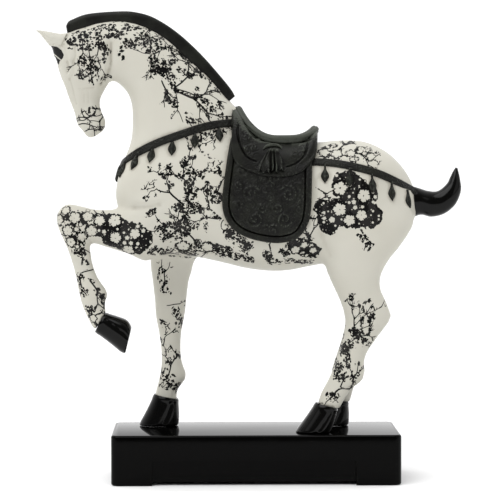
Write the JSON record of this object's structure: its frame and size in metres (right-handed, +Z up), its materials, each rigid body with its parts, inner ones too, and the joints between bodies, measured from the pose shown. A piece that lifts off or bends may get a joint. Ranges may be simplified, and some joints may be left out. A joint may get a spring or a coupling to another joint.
{
  "type": "horse sculpture",
  "caption": "Prancing horse figure with saddle and hung harness straps, one foreleg raised, standing on a low rectangular plinth.",
  "frame": {"origin": "on the surface that the plinth stands on, under the middle of the figure's length and of the plinth's depth", "axes": "+Z up, the horse faces -X, its near side and raised foreleg towards -Y"},
  "size_m": [0.388, 0.1, 0.4285],
  "materials": {
    "printed_cream": "cast resin in satin cream paint with a black printed pattern of leaves, twigs and blossoms; mane, tail, tack and hooves painted charcoal to gloss black",
    "black_lacquer": "deep gloss black lacquer"
  },
  "bodies": {
    "root": {"horse": "printed_cream", "plinth": "black_lacquer"}
  },
  "joints": []
}
